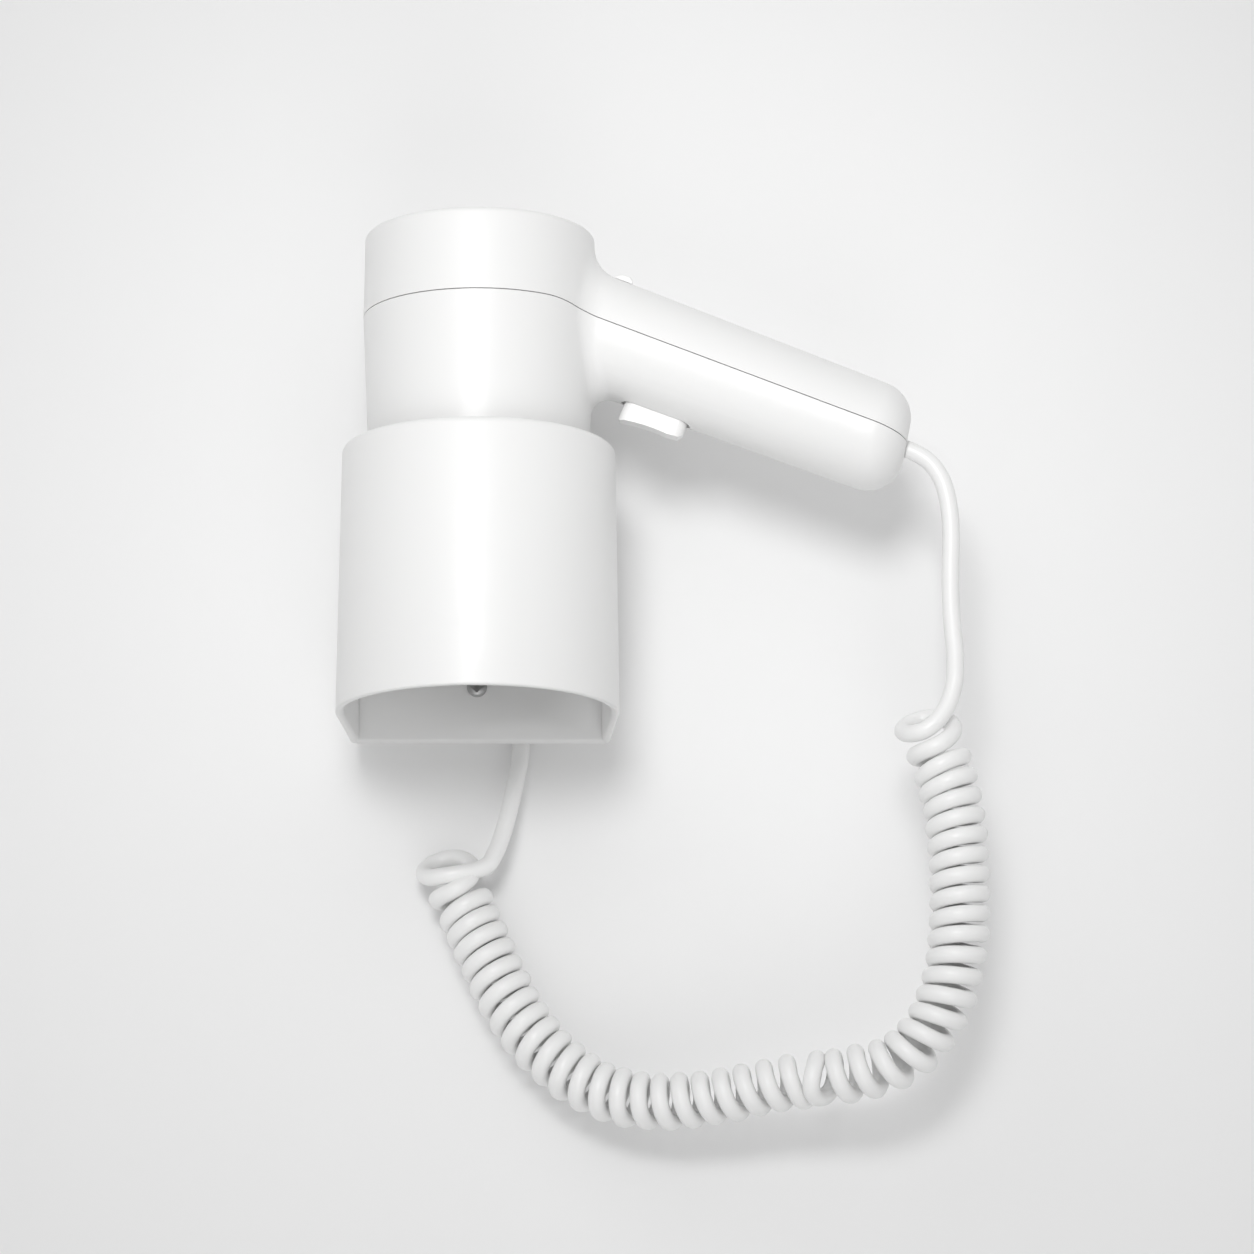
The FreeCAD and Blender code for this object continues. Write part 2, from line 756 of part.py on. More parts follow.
def make_rotor():
    top = "fan_level + fan_height"
    shaft = new_body("rotor_shaft_body")
    turned(shaft, [
        ("0", "motor_level - 1.5"),
        ("shaft_radius - 0.3", "motor_level - 1.5"),
        ("shaft_radius", "motor_level - 1.2"),
        ("shaft_radius", f"{top} - 0.8"),
        ("shaft_radius - 0.3", f"{top} - 0.5"),
        ("0", f"{top} - 0.5"),
    ])
    node(on_axis(shaft), "rotor_shaft")

    fan = new_body("fan_body")
    turned(fan, [
        ("shaft_radius", "fan_level + 1"),
        ("3.2", "fan_level + 1"),
        ("3.2", f"{top} - 3.6"),
        ("fan_hub_radius - 1.6", f"{top} - 3.6"),
        ("fan_hub_radius - 1.6", "fan_level"),
        ("fan_hub_radius", "fan_level"),
        ("fan_hub_radius", f"{top} - 3"),
        ("fan_hub_radius - 3.5", f"{top} - 0.5"),
        ("shaft_radius", f"{top} - 0.5"),
    ])
    blade = pad(fan, "YZ_Plane", [
        ("-6", "fan_level + 1"),
        ("-4.3", "fan_level + 1"),
        ("0.7", "fan_level + 5.6"),
        ("5.2", f"{top} - 1.2"),
        ("3.6", f"{top} - 1.2"),
        ("-1", "fan_level + 6.6"),
    ], "fan_radius - fan_hub_radius - 0.2", "fan_hub_radius - 0.6")
    polar(fan, blade, 9)
    node(on_axis(fan), "fan")

    armature = new_body("armature_body")
    pad_circles(armature, "XY_Plane", [("0", "0", "10.2"), ("0", "0", "shaft_radius")], "18",
                "motor_level + 6")
    before = solid_volume(armature)
    sketch = sketch_on(armature, "XY_Plane", "motor_level + 5")
    add_outline(sketch, box_corners("4.5", "11", "-0.9", "0.9"))
    polar(armature, extrude(armature, "Pocket", sketch, "20", reverse=True), 5)
    confirm_cut(armature, before)
    node(on_axis(armature), "armature")

    commutator = new_body("commutator_body")
    turned(commutator, [
        ("shaft_radius", "motor_level + 24.6"),
        ("3.4", "motor_level + 24.6"),
        ("3.4", "motor_level + 28.2"),
        ("shaft_radius", "motor_level + 28.2"),
    ])
    node(on_axis(commutator), "commutator")


def make_controls():
    end = "trigger_start + trigger_length"
    side = new_body("trigger_side")
    pad(side, "XZ_Plane", [
        ("trigger_start", "-15"),
        ("trigger_start", "-25.7"),
        ("trigger_start + 1.3", "-27.1"),
        (f"{end} - 1.4", "-25"),
        (end, "-23.6"),
        (end, "-15"),
    ], "trigger_width + 2", both_ways=True)
    pocket_circles(side, "XZ_Plane", [("trigger_start + 0.55 * trigger_length", "-25.2 - 60", "60")],
                   "2 * trigger_width", "-trigger_width", reverse=True)
    plan = fuse("trigger_plan", *rounded_bar("trigger_plan", "trigger_start", end, "trigger_width / 2",
                                             "-30", "-14"))
    key = common("trigger_key", on_handle(side), plan)
    flange = handle_box("trigger_flange", ("trigger_start - 2.6", f"{end} + 2.6"), "trigger_width / 2 + 1.2",
                        "-15.9", "-14.5")
    node(fuse("trigger_joined", key, flange), "trigger")

    switch = new_body("trigger_switch_body")
    pad(switch, "XZ_Plane", box_corners("64", "84", "-11.2", "-3"), "10", both_ways=True)
    pad(switch, "XZ_Plane", box_corners("74", "76", "-11.8", "-11"), "2", both_ways=True)
    node(on_handle(switch), "trigger_switch")

    spring = new_body("trigger_spring_body")
    pad(spring, "XZ_Plane", [
        ("64.6", "-14.45"),
        ("72.2", "-14.45"),
        ("72.2", "-14.05"),
        ("66.4", "-11.65"),
        ("68.4", "-11.65"),
        ("68.4", "-11.3"),
        ("64.8", "-11.3"),
        ("64.8", "-11.68"),
        ("71", "-14.1"),
        ("64.6", "-14.1"),
    ], "4", both_ways=True)
    node(on_handle(spring), "trigger_spring")

    knob_end = "knob_start + knob_length"
    cap = new_body("heat_knob_cap")
    pad(cap, "XZ_Plane", [
        ("knob_start", "19"),
        ("knob_start", "20.9"),
        ("knob_start + 2.2", "22.3"),
        (f"{knob_end} - 1.3", "22.3"),
        (knob_end, "21.2"),
        (knob_end, "19"),
    ], "knob_width", both_ways=True)
    soften(cap, "0.8", lambda edge: sampled(edge, lambda point: point.z > 20.8))
    stem = new_body("heat_knob_stem")
    pad(stem, "XZ_Plane", box_corners("knob_start + 1.3", "knob_start + 4.5", "15.6", "21.5"),
        "knob_width - 3.4", both_ways=True)
    pad(stem, "XZ_Plane", box_corners("knob_start - 1.4", "knob_start + 8", "15.2", "16.4"),
        "knob_width", both_ways=True)
    clearance = handle_form("knob_clearance", "(0 - knob_gap)")
    seated = cut("heat_knob_seated", on_handle(cap), clearance)
    node(fuse("heat_knob_joined", seated, on_handle(stem)), "heat_knob")

    selector = new_body("heat_switch_body")
    pad(selector, "XZ_Plane", box_corners("41", "58", "6.5", "14.7"), "10", both_ways=True)
    node(on_handle(selector), "heat_switch")


def make_handle_wiring():
    flex = end_hole("handle_flex", "flex_radius", "124", "handle_reach")
    node(flex, "handle_flex_end")
    bush = new_body("handle_cord_bush_body")
    bore = "flex_radius + 0.05"
    turned(bush, [
        (bore, "handle_reach - 5"),
        ("5.8", "handle_reach - 5"),
        ("5.8", "handle_reach - skin - 1.6"),
        ("4.5", "handle_reach - skin - 1.6"),
        ("4.5", "handle_reach - 1.3"),
        (bore, "handle_reach - 1.3"),
    ])
    node(on_handle(bush, turn="90"), "handle_cord_bush")

    clamp = new_body("handle_cord_clamp_body")
    pad(clamp, "XZ_Plane", box_corners(f"{CLAMP_ALONG} - 3", f"{CLAMP_ALONG} + 3", "3.1", "5.4"), "18",
        both_ways=True)
    pocket_circles(clamp, "XY_Plane", [(CLAMP_ALONG, CLAMP_ACROSS, "1.3"), (CLAMP_ALONG,
                                                                            "-" + CLAMP_ACROSS, "1.3")],
                   "6", "2", reverse=True)
    node(on_handle(clamp), "handle_cord_clamp")
    small = screw_body("small_screw", "1.1", "8", "2.2", "1.5")
    places = [(on_handle, {"along": CLAMP_ALONG, "across": across, "up": "5.4"})
              for across in (CLAMP_ACROSS, "-" + CLAMP_ACROSS)]
    node(copies("handle_clamp_screws_group", small, places), "handle_clamp_screws")
    long_screw = screw_body("long_screw", "screw_radius", "17", "2.8", "2")
    places = [(on_handle, {"along": along, "up": "10"}) for along in HOUSING_SCREWS]
    node(copies("housing_screws_group", long_screw, places), "housing_screws")

    leads = [
        [(123.6, -1.2, -0.8), (119.0, -5.0, -1.5), (108.0, -6.2, -3.0), (95.0, -6.0, -5.0),
         (84.3, -3.0, -6.5)],
        [(123.6, 1.2, -0.8), (119.0, 5.0, -1.5), (108.0, 6.2, -3.0), (95.0, 6.0, -5.0), (84.3, 3.0, -6.5)],
        [(123.6, 0.0, 1.4), (118.5, 5.6, 3.5), (105.0, 6.4, 5.5), (82.0, 6.2, 8.5), (70.0, 4.5, 10.5),
         (58.3, 2.0, 10.5)],
    ]
    wires = doc.addObject("Part::Feature", "lead_wires_group")
    wires.Shape = Part.makeCompound([tube(route, 0.9)[0] for route in leads])
    on_handle(wires)
    node(wires, "lead_wires")


# The holster, the wall plate and what is inside it


def add_dee(sketch, radius, flat_half, inset):
    """A round front whose sides run on, tangent to it, to a narrower flat back."""
    centre = vector(0, -size("axis_depth"), 0)
    reach = size(radius)
    back = f"-back_gap - {inset}"
    right = vector(size(flat_half), size(back), 0)
    left = vector(-size(flat_half), size(back), 0)
    rise = right.y - centre.y
    past_widest = math.atan2(rise, right.x) - math.acos(reach / math.hypot(rise, right.x))
    circle = Part.Circle(centre, vector(0, 0, 1), reach)
    front = Part.ArcOfCircle(circle, math.pi - past_widest, 2 * math.pi + past_widest)
    arc = sketch.addGeometry(front, False)
    side = sketch.addGeometry(Part.LineSegment(front.EndPoint, right), False)
    flat = sketch.addGeometry(Part.LineSegment(right, left), False)
    last = sketch.addGeometry(Part.LineSegment(left, front.StartPoint), False)
    for kind, one, one_end, other, other_end in (
        ("Tangent", arc, 2, side, 1),
        ("Coincident", side, 2, flat, 1),
        ("Coincident", flat, 2, last, 1),
        ("Tangent", last, 2, arc, 1),
    ):
        sketch.addConstraint(Sketcher.Constraint(kind, one, one_end, other, other_end))
    fix(sketch, arc, 3, "0", "-axis_depth")
    number = sketch.addConstraint(Sketcher.Constraint("Radius", arc, reach))
    sketch.setExpression(f"Constraints[{number}]", formula(radius))
    fix(sketch, side, 2, flat_half, back)
    fix(sketch, flat, 2, f"-({flat_half})", back)


def dee_bar(name, sections):
    """A bar between two D sections, each given by its level, radius, half flat and inset."""
    sketches = []
    for level, radius, flat_half, inset in sections:
        sketch = doc.addObject("Sketcher::SketchObject", name + "_section")
        add_dee(sketch, f"{radius} - ({inset})", f"{flat_half} - ({inset})", f"({inset})")
        sketches.append(place(sketch, z=level))
    loft = doc.addObject("Part::Loft", name)
    loft.Sections = sketches
    loft.Solid = True
    loft.Ruled = True
    return loft


def dee_form(name, inset, overrun):
    """The holster's section run from its lower rim to its slightly narrower upper rim."""
    return dee_bar(name, [
        (f"-holster_top - {overrun}", "holster_radius_low", "flat_half_low", inset),
        (f"holster_top + {overrun}", "holster_radius_top", "flat_half_top", inset),
    ])


HOLSTER_SCREWS = (("low_screw_x", "low_screw_z"), ("high_screw_x", "high_screw_z"),
                  ("-high_screw_x", "high_screw_z"))


def make_holster():
    top = size("holster_top")
    back = -size("back_gap")

    def back_corner(edge):
        upright = abs(edge.Vertexes[0].Z - edge.Vertexes[-1].Z) > top
        return upright and sampled(edge, lambda point: point.y > back - 0.5)

    form = round_edges("holster_corners", dee_form("holster_outside", "0", "0"), "3", back_corner)
    form = round_edges("holster_rim", form, "rim_round",
                       lambda edge: sampled(edge, lambda point: point.z > top - 0.01))
    form = round_edges("holster_foot", form, "0.8",
                       lambda edge: sampled(edge, lambda point: point.z < 0.01 - top))
    holes = []
    for x, z in HOLSTER_SCREWS:
        hole = primitive("Cylinder", "holster_hole", Radius="screw_radius + 0.25", Height="holster_skin + 2")
        holes.append(place(hole, x, "1 - back_gap", z, (1, 0, 0), "90"))
    flare = dee_bar("holster_flare", [
        ("-holster_top - 1", "holster_radius_low", "flat_half_low", "holster_skin - foot_bevel - 1"),
        ("-holster_top + foot_bevel + 0.1", "holster_radius_low", "flat_half_low", "holster_skin + 0.1"),
    ])
    hollow = cut("holster_hollow", form, dee_form("holster_inside", "holster_skin", "1"))
    node(cut("holster_cut", cut("holster_flared", hollow, flare), *holes), "holster_shell")

    seat = new_body("holster_seat_body")
    turned(seat, [
        ("44", "2"),
        ("44", "shoulder_level"),
        ("shoulder_radius + seat_gap", "shoulder_level"),
        ("nozzle_radius + seat_gap", "nozzle_level"),
        ("nozzle_radius + seat_gap", "nozzle_level - 3"),
        ("nozzle_radius + seat_gap + 2.2", "nozzle_level - 3"),
        ("shoulder_radius + seat_gap + 1", "shoulder_level - 3"),
        ("41.4", "shoulder_level - 3"),
        ("41.4", "2"),
    ])
    pad(seat, "XY_Plane", box_corners("-10", "10", "42", "axis_depth - back_gap - holster_skin"), "18", "2")
    node(on_axis(seat), "holster_seat")

    screw = screw_body("holster_screw", "screw_radius", "12", "screw_head_radius", "2.2")
    places = [(place, {"x": x, "y": "-back_gap - holster_skin", "z": z, "axis": (1, 0, 0), "angle": "90"})
              for x, z in HOLSTER_SCREWS]
    node(copies("holster_screws_group", screw, places), "holster_screws")


TERMINAL_X = "8"
WALL_CLAMP_Z = "-32"
CLAMP_SPAN = "7.5"


def make_wall_plate():
    plate = new_body("wall_plate_body")
    wide = "plate_half_width"
    pad(plate, "XZ_Plane", box_corners(f"-{wide}", wide, "plate_bottom", "plate_top"), "back_gap")
    inside = "plate_half_width - plate_skin"
    pocket(plate, "XZ_Plane", box_corners(f"-({inside})", inside, "plate_bottom + plate_skin",
                                          "plate_top - plate_skin"),
           "back_gap", "plate_skin", reverse=True)
    pad_circles(plate, "XZ_Plane", [(x, z, "4") for x, z in HOLSTER_SCREWS], "back_gap - plate_skin",
                "plate_skin")
    clamp_holes = [(f"flex_x + {side} * {CLAMP_SPAN}", WALL_CLAMP_Z) for side in ("1", "-1")]
    clamp_face = "flex_depth + flex_radius"
    pad_circles(plate, "XZ_Plane", [(x, z, "2.4") for x, z in clamp_holes],
                f"{clamp_face} - plate_skin", "plate_skin")
    pocket_circles(plate, "XZ_Plane", [(x, z, "screw_radius") for x, z in HOLSTER_SCREWS], "back_gap",
                   "4", reverse=True)
    pocket_circles(plate, "XZ_Plane", [(x, z, "1.1") for x, z in clamp_holes], "back_gap", "5", reverse=True)
    corners = [(f"{x} * wall_hole_x", f"{z} * wall_hole_z") for x in (-1, 1) for z in (-1, 1)]
    pocket_circles(plate, "XZ_Plane", [(x, z, "wall_hole_radius") for x, z in corners],
                   "plate_skin + 1", "-0.5",
                   reverse=True)
    pocket(plate, "XZ_Plane", box_corners("-24", "-10", "-6", "10"), "plate_skin + 1", "-0.5", reverse=True)
    pocket_circles(plate, "XY_Plane", [("flex_x", "-flex_depth", "4.5")], "plate_skin + 1",
                   "plate_bottom - 0.5",
                   reverse=True)
    node(plate, "wall_plate")

    block = new_body("terminal_block_body")
    pad(block, "XZ_Plane", box_corners(f"{TERMINAL_X} - 13", f"{TERMINAL_X} + 13", "2", "16"), "8.5",
        "plate_skin")
    poles = [(f"{TERMINAL_X} + {step} * 8", "9") for step in (-1, 0, 1)]
    pocket_circles(block, "XZ_Plane", [(x, z, "2.2") for x, z in poles], "3", "plate_skin + 8.5")
    node(block, "terminal_block")
    terminal = new_body("terminal_screw")
    pad_circles(terminal, "XY_Plane", [("0", "0", "2.1")], "1.6")
    pocket(terminal, "XY_Plane", box_corners("-2.5", "2.5", "-0.3", "0.3"), "0.7", "1.6")
    places = [(place, {"x": x, "y": "-plate_skin - 5.5", "z": z, "axis": (1, 0, 0), "angle": "90"})
              for x, z in poles]
    node(copies("terminal_screws_group", terminal, places), "terminal_screws")

    clamp = new_body("wall_cord_clamp_body")
    pad(clamp, "XZ_Plane", box_corners("flex_x - 10", "flex_x + 10", f"{WALL_CLAMP_Z} - 2.6",
                                       f"{WALL_CLAMP_Z} + 2.6"),
        "2", clamp_face)
    pocket_circles(clamp, "XZ_Plane", [(x, z, "1.3") for x, z in clamp_holes], "3",
                   f"{clamp_face} - 0.5", reverse=True)
    node(clamp, "wall_cord_clamp")
    small = screw_body("clamp_screw", "1.1", "6", "2", "0.6")
    places = [(place, {"x": x, "y": f"-({clamp_face}) - 2", "z": z, "axis": (1, 0, 0), "angle": "90"})
              for x, z in clamp_holes]
    node(copies("wall_clamp_screws_group", small, places), "wall_clamp_screws")

    bush = new_body("wall_cord_bush_body")
    bore = "flex_radius + 0.05"
    turned(bush, [
        (bore, "plate_bottom - 2"),
        ("5.4", "plate_bottom - 2"),
        ("5.4", "plate_bottom"),
        ("4.45", "plate_bottom"),
        ("4.45", "plate_bottom + plate_skin"),
        ("5.4", "plate_bottom + plate_skin"),
        ("5.4", "plate_bottom + plate_skin + 2"),
        (bore, "plate_bottom + plate_skin + 2"),
    ])
    node(place(bush, "flex_x", "-flex_depth"), "wall_cord_bush")

    flex = new_body("wall_flex_end_body")
    pad_circles(flex, "XY_Plane", [("0", "0", "flex_radius")], "29", "plate_bottom - 2")
    cores = [(x, y, "0.8") for x, y in (("-1.7", "0"), ("0", "0"), ("1.7", "0"))]
    pad_circles(flex, "XY_Plane", cores, "17", "-15")
    node(place(flex, "flex_x", "-flex_depth"), "wall_flex_end")


# The free cord


def rounded_path(points):
    """Straight runs joined by tangent arcs, each as large as its two runs allow."""
    corners = [vector(*point) for point in points]
    edges = []
    radii = []
    start = corners[0]
    for before, corner, after in zip(corners, corners[1:], corners[2:]):
        arriving = (corner - before).normalize()
        leaving = (after - corner).normalize()
        half_turn = arriving.getAngle(leaving) / 2
        reach = 0.45 * min((corner - before).Length, (after - corner).Length)
        radius = reach / math.tan(half_turn)
        inward = (leaving - arriving).normalize()
        middle = corner + inward * (radius / math.cos(half_turn) - radius)
        arc_start = corner - arriving * reach
        arc_end = corner + leaving * reach
        edges.append(Part.LineSegment(start, arc_start).toShape())
        edges.append(Part.Arc(arc_start, middle, arc_end).toShape())
        radii.append(radius)
        start = arc_end
    edges.append(Part.LineSegment(start, corners[-1]).toShape())
    return Part.Wire(edges), radii


def tube(points, radius):
    """A round bar along a rounded path, with its length and its bend radii."""
    path, radii = rounded_path(points)
    direction = vector(*points[1]) - vector(*points[0])
    section = Part.Wire([Part.makeCircle(radius, vector(*points[0]), direction)])
    solid = path.makePipeShell([section], True, True)
    if solid.Volume < 0:
        solid.reverse()
    return solid, path.Length, radii


def make_cord():
    for name, points, radius in (
        ("cord_handle_tail", HANDLE_TAIL, size("flex_radius")),
        ("cord_coil", COIL, size("coil_radius")),
        ("cord_holster_tail", HOLSTER_TAIL, size("flex_radius")),
    ):
        solid, length, radii = tube(points, radius)
        section = math.pi * radius**2
        print(f"{name}: length {length:.1f}, volume over section x length {solid.Volume / (section * length):.4f}, "
              f"radii {[round(bend, 1) for bend in radii]}")
        item = doc.addObject("Part::Feature", name + "_solid")
        item.Shape = solid
        node(item, name)


# The whole object


def check_document():
    """Stops before writing if anything in the document failed."""
    doc.recompute()
    for item in doc.Objects:
        bad = [word for word in item.State if word in ("Invalid", "Error")]
        if bad:
            raise RuntimeError(f"{item.Name} ({item.Label}): {bad}")
    for item in nodes:
        if item.Shape.isNull() or not item.Shape.isValid() or not item.Shape.Solids:
            raise RuntimeError(f"{item.Label}: no valid solid")


fill_sheet()
make_housings()
make_air_path()
make_heater()
make_motor()
make_rotor()
make_controls()
make_handle_wiring()
make_holster()
make_wall_plate()
make_cord()
check_document()
os.makedirs("parts", exist_ok=True)
for item in nodes:
    item.Shape.exportStep(f"parts/{item.Label}.step")
    print(f"{item.Label}: {len(item.Shape.Solids)} solid(s), {item.Shape.Volume:.0f} mm3")
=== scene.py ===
"""Wall-mounted hair dryer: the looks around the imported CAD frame."""

import json
import math

import bpy
import bmesh
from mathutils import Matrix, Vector


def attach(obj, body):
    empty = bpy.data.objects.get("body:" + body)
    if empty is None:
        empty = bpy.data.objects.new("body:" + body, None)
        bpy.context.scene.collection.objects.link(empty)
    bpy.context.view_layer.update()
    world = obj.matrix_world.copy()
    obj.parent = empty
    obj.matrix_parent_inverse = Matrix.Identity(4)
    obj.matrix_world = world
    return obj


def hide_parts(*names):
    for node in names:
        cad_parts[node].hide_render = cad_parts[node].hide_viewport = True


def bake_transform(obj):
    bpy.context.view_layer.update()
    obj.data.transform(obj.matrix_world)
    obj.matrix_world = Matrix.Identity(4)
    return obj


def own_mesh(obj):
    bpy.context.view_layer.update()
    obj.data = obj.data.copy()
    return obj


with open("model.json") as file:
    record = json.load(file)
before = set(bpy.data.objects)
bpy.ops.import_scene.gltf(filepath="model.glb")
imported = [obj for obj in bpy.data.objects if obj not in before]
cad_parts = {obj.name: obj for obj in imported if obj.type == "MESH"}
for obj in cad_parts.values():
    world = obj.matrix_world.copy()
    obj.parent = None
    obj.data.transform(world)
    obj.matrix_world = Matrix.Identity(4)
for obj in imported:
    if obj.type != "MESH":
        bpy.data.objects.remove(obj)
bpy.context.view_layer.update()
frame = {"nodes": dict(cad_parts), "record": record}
scene = bpy.context.scene


# Camera


def make_camera():
    data = bpy.data.cameras.new("camera")
    data.sensor_width = 36.0
    data.lens = 186.3
    data.clip_start = 0.1
    data.clip_end = 20.0
    camera = bpy.data.objects.new("camera", data)
    camera.location = (0.0508, -2.2174, -0.5135)
    camera.rotation_euler = (math.radians(103.0), 0, 0)
    scene.collection.objects.link(camera)
    scene.camera = camera


make_camera()


# Cord. Its routes are in metres: the tail from the handle's end, the axis of the curly part and
# the tail that runs up behind the holster.

FLEX = 0.006
TURN_RADIUS = 0.0076
# The turns are a little narrower where the coil hangs stretched.
THINNER = 0.0010
THINNEST = 0.165

HANDLE_TAIL = [
    (0.14638, -0.0620, 0.04683),
    (0.1526, -0.0620, 0.0445),
    (0.1583, -0.0623, 0.0376),
    (0.1609, -0.0626, 0.0286),
    (0.1618, -0.0630, 0.0170),
    (0.1611, -0.0636, 0.0030),
    (0.1612, -0.0645, -0.0130),
    (0.1630, -0.0660, -0.0310),
    (0.1610, -0.0684, -0.0475),
]
COIL_AXIS = [
    (0.1534, -0.0600, -0.0515),
    (0.1596, -0.0605, -0.0668),
    (0.1628, -0.0610, -0.0880),
    (0.1635, -0.0610, -0.1080),
    (0.1625, -0.0605, -0.1300),
    (0.1564, -0.0590, -0.1501),
    (0.1440, -0.0560, -0.1648),
    (0.1260, -0.0510, -0.1686),
    (0.1040, -0.0445, -0.1698),
    (0.0820, -0.0380, -0.1740),
    (0.0590, -0.0315, -0.1753),
    (0.0393, -0.0260, -0.1697),
    (0.0226, -0.0220, -0.1563),
    (0.0104, -0.0190, -0.1391),
    (0.0014, -0.0170, -0.1190),
    (-0.0050, -0.0155, -0.1043),
    (-0.0102, -0.0145, -0.0928),
]
HOLSTER_TAIL = [
    (-0.0050, -0.0238, -0.0995),
    (0.0026, -0.0205, -0.0922),
    (0.0073, -0.0155, -0.0812),
    (0.0107, -0.0115, -0.0668),
    (0.0132, -0.0088, -0.0540),
    (0.0139, -0.0083, -0.0485),
    (0.0140, -0.0082, -0.0430),
]


def spline_points(name, points, steps):
    """Points read off a smooth NURBS line through the route."""
    curve = bpy.data.curves.new(name, "CURVE")
    curve.dimensions = "3D"
    curve.resolution_u = steps
    spline = curve.splines.new("NURBS")
    spline.points.add(len(points) - 1)
    for place, point in zip(spline.points, points):
        place.co = (*point, 1.0)
    spline.order_u = 3
    spline.use_endpoint_u = True
    holder = bpy.data.objects.new(name, curve)
    mesh = bpy.data.meshes.new_from_object(holder)
    found = [vertex.co.copy() for vertex in mesh.vertices]
    bpy.data.objects.remove(holder)
    bpy.data.curves.remove(curve)
    bpy.data.meshes.remove(mesh)
    return found


def smooth(value):
    value = min(max(value, 0.0), 1.0)
    return value * value * (3 - 2 * value)


def bell(distance, width):
    return math.exp(-((distance / width) ** 2))


def along(points):
    """Running length at each point."""
    lengths = [0.0]
    for first, second in zip(points, points[1:]):
        lengths.append(lengths[-1] + (second - first).length)
    return lengths


def at_length(points, lengths, wanted):
    """The place and direction at a running length."""
    wanted = min(max(wanted, 0.0), lengths[-1])
    low, high = 0, len(lengths) - 1
    while high - low > 1:
        middle = (low + high) // 2
        if lengths[middle] <= wanted:
            low = middle
        else:
            high = middle
    part = (wanted - lengths[low]) / (lengths[high] - lengths[low])
    before = points[max(low - 1, 0)]
    after = points[min(high + 1, len(points) - 1)]
    return points[low].lerp(points[high], part), (after - before).normalized()


# How closely the turns lie along the coil: running length and pitch, in metres.
PITCHES = [
    (0.0, 0.0064), (0.060, 0.0066), (0.095, 0.0072), (0.125, 0.0084), (0.160, 0.0080),
    (0.195, 0.0075), (0.240, 0.0074), (0.270, 0.0070), (0.300, 0.0064), (0.345, 0.0063),
]
STEPS_PER_TURN = 30
START_PHASE = math.radians(-62)
END_PHASE = math.radians(58)
END_RISE = (0.0105, 0.0125)
# One turn near the bottom leans the other way and lies over its neighbour.
LEANING_TURN = 21
LEAN = 0.0030
LEAN_FORWARD = 0.0018


def pitch_at(length):
    for (low, pitch_low), (high, pitch_high) in zip(PITCHES, PITCHES[1:]):
        if length <= high:
            return pitch_low + (pitch_high - pitch_low) * smooth((length - low) / (high - low))
    return PITCHES[-1][1]


def make_helix():
    """The curly part: the turns go round the coil's axis, right-handed."""
    axis = spline_points("coil_axis", COIL_AXIS, 24)
    lengths = along(axis)
    total = lengths[-1]
    step = 0.0001
    count = int(total / step)
    phases = [START_PHASE]
    for number in range(count):
        phases.append(phases[-1] + 2 * math.pi * step / pitch_at((number + 0.5) * step))
    raw = phases[-1] - START_PHASE
    turns = round((raw + START_PHASE - END_PHASE) / (2 * math.pi))
    wanted = END_PHASE + 2 * math.pi * turns - START_PHASE
    scale = wanted / raw
    points = []
    samples = int(wanted / (2 * math.pi) * STEPS_PER_TURN)
    place = 0
    for sample in range(samples + 1):
        phase = START_PHASE + wanted * sample / samples
        while place < count and START_PHASE + (phases[place + 1] - START_PHASE) * scale < phase:
            place += 1
        low = START_PHASE + (phases[place] - START_PHASE) * scale
        high = START_PHASE + (phases[min(place + 1, count)] - START_PHASE) * scale
        part = (phase - low) / (high - low) if high > low else 0.0
        length = (place + part) * step
        centre, tangent = at_length(axis, lengths, length)
        back = Vector((0, 1, 0))
        back = (back - tangent * back.dot(tangent)).normalized()
        inward = back.cross(tangent)
        turn_from_start = (phase - START_PHASE) / (2 * math.pi)
        turn_from_end = (START_PHASE + wanted - phase) / (2 * math.pi)
        radius = TURN_RADIUS - THINNER * bell(length - THINNEST, 0.075)
        radius += 0.00012 * math.sin(0.37 * phase + 0.8) + 0.00008 * math.sin(0.113 * phase)
        radius += 0.0006 * (1 - smooth(turn_from_start / 2)) + 0.0006 * (1 - smooth(turn_from_end / 2))
        offset = (-math.cos(phase) * back + math.sin(phase) * inward) * radius
        leaning = LEAN * bell(phase - LEANING_TURN * 2 * math.pi, 2.6)
        outward = (1 - math.sin(phase)) / 2
        offset -= tangent * math.sin(phase) * leaning
        offset -= back * outward * LEAN_FORWARD * bell(phase - LEANING_TURN * 2 * math.pi, 2.2)
        offset += back * outward * LEAN_FORWARD * bell(phase - (LEANING_TURN + 1) * 2 * math.pi, 2.2)
        lift = (1 - math.cos(phase)) / 2
        rise = END_RISE[0] * lift * (1 - smooth((turn_from_start - 0.7) / 1.3))
        rise -= END_RISE[1] * lift * (1 - smooth((turn_from_end - 0.7) / 1.3))
        points.append(centre + offset - tangent * rise)
    return points, wanted / (2 * math.pi)


def joined(first, second, share):
    """Two lines that run side by side where they meet, blended into one over a length of the share."""
    first_lengths, second_lengths = along(first), along(second)
    start = first_lengths[-1] - share
    line = [point for point, length in zip(first, first_lengths) if length < start - 0.0006]
    steps = 14
    for number in range(steps + 1):
        part = number / steps
        one, _ = at_length(first, first_lengths, start + share * part)
        two, _ = at_length(second, second_lengths, share * part)
        line.append(one.lerp(two, smooth(part)))
    return line + [point for point, length in zip(second, second_lengths) if length > share + 0.0006]


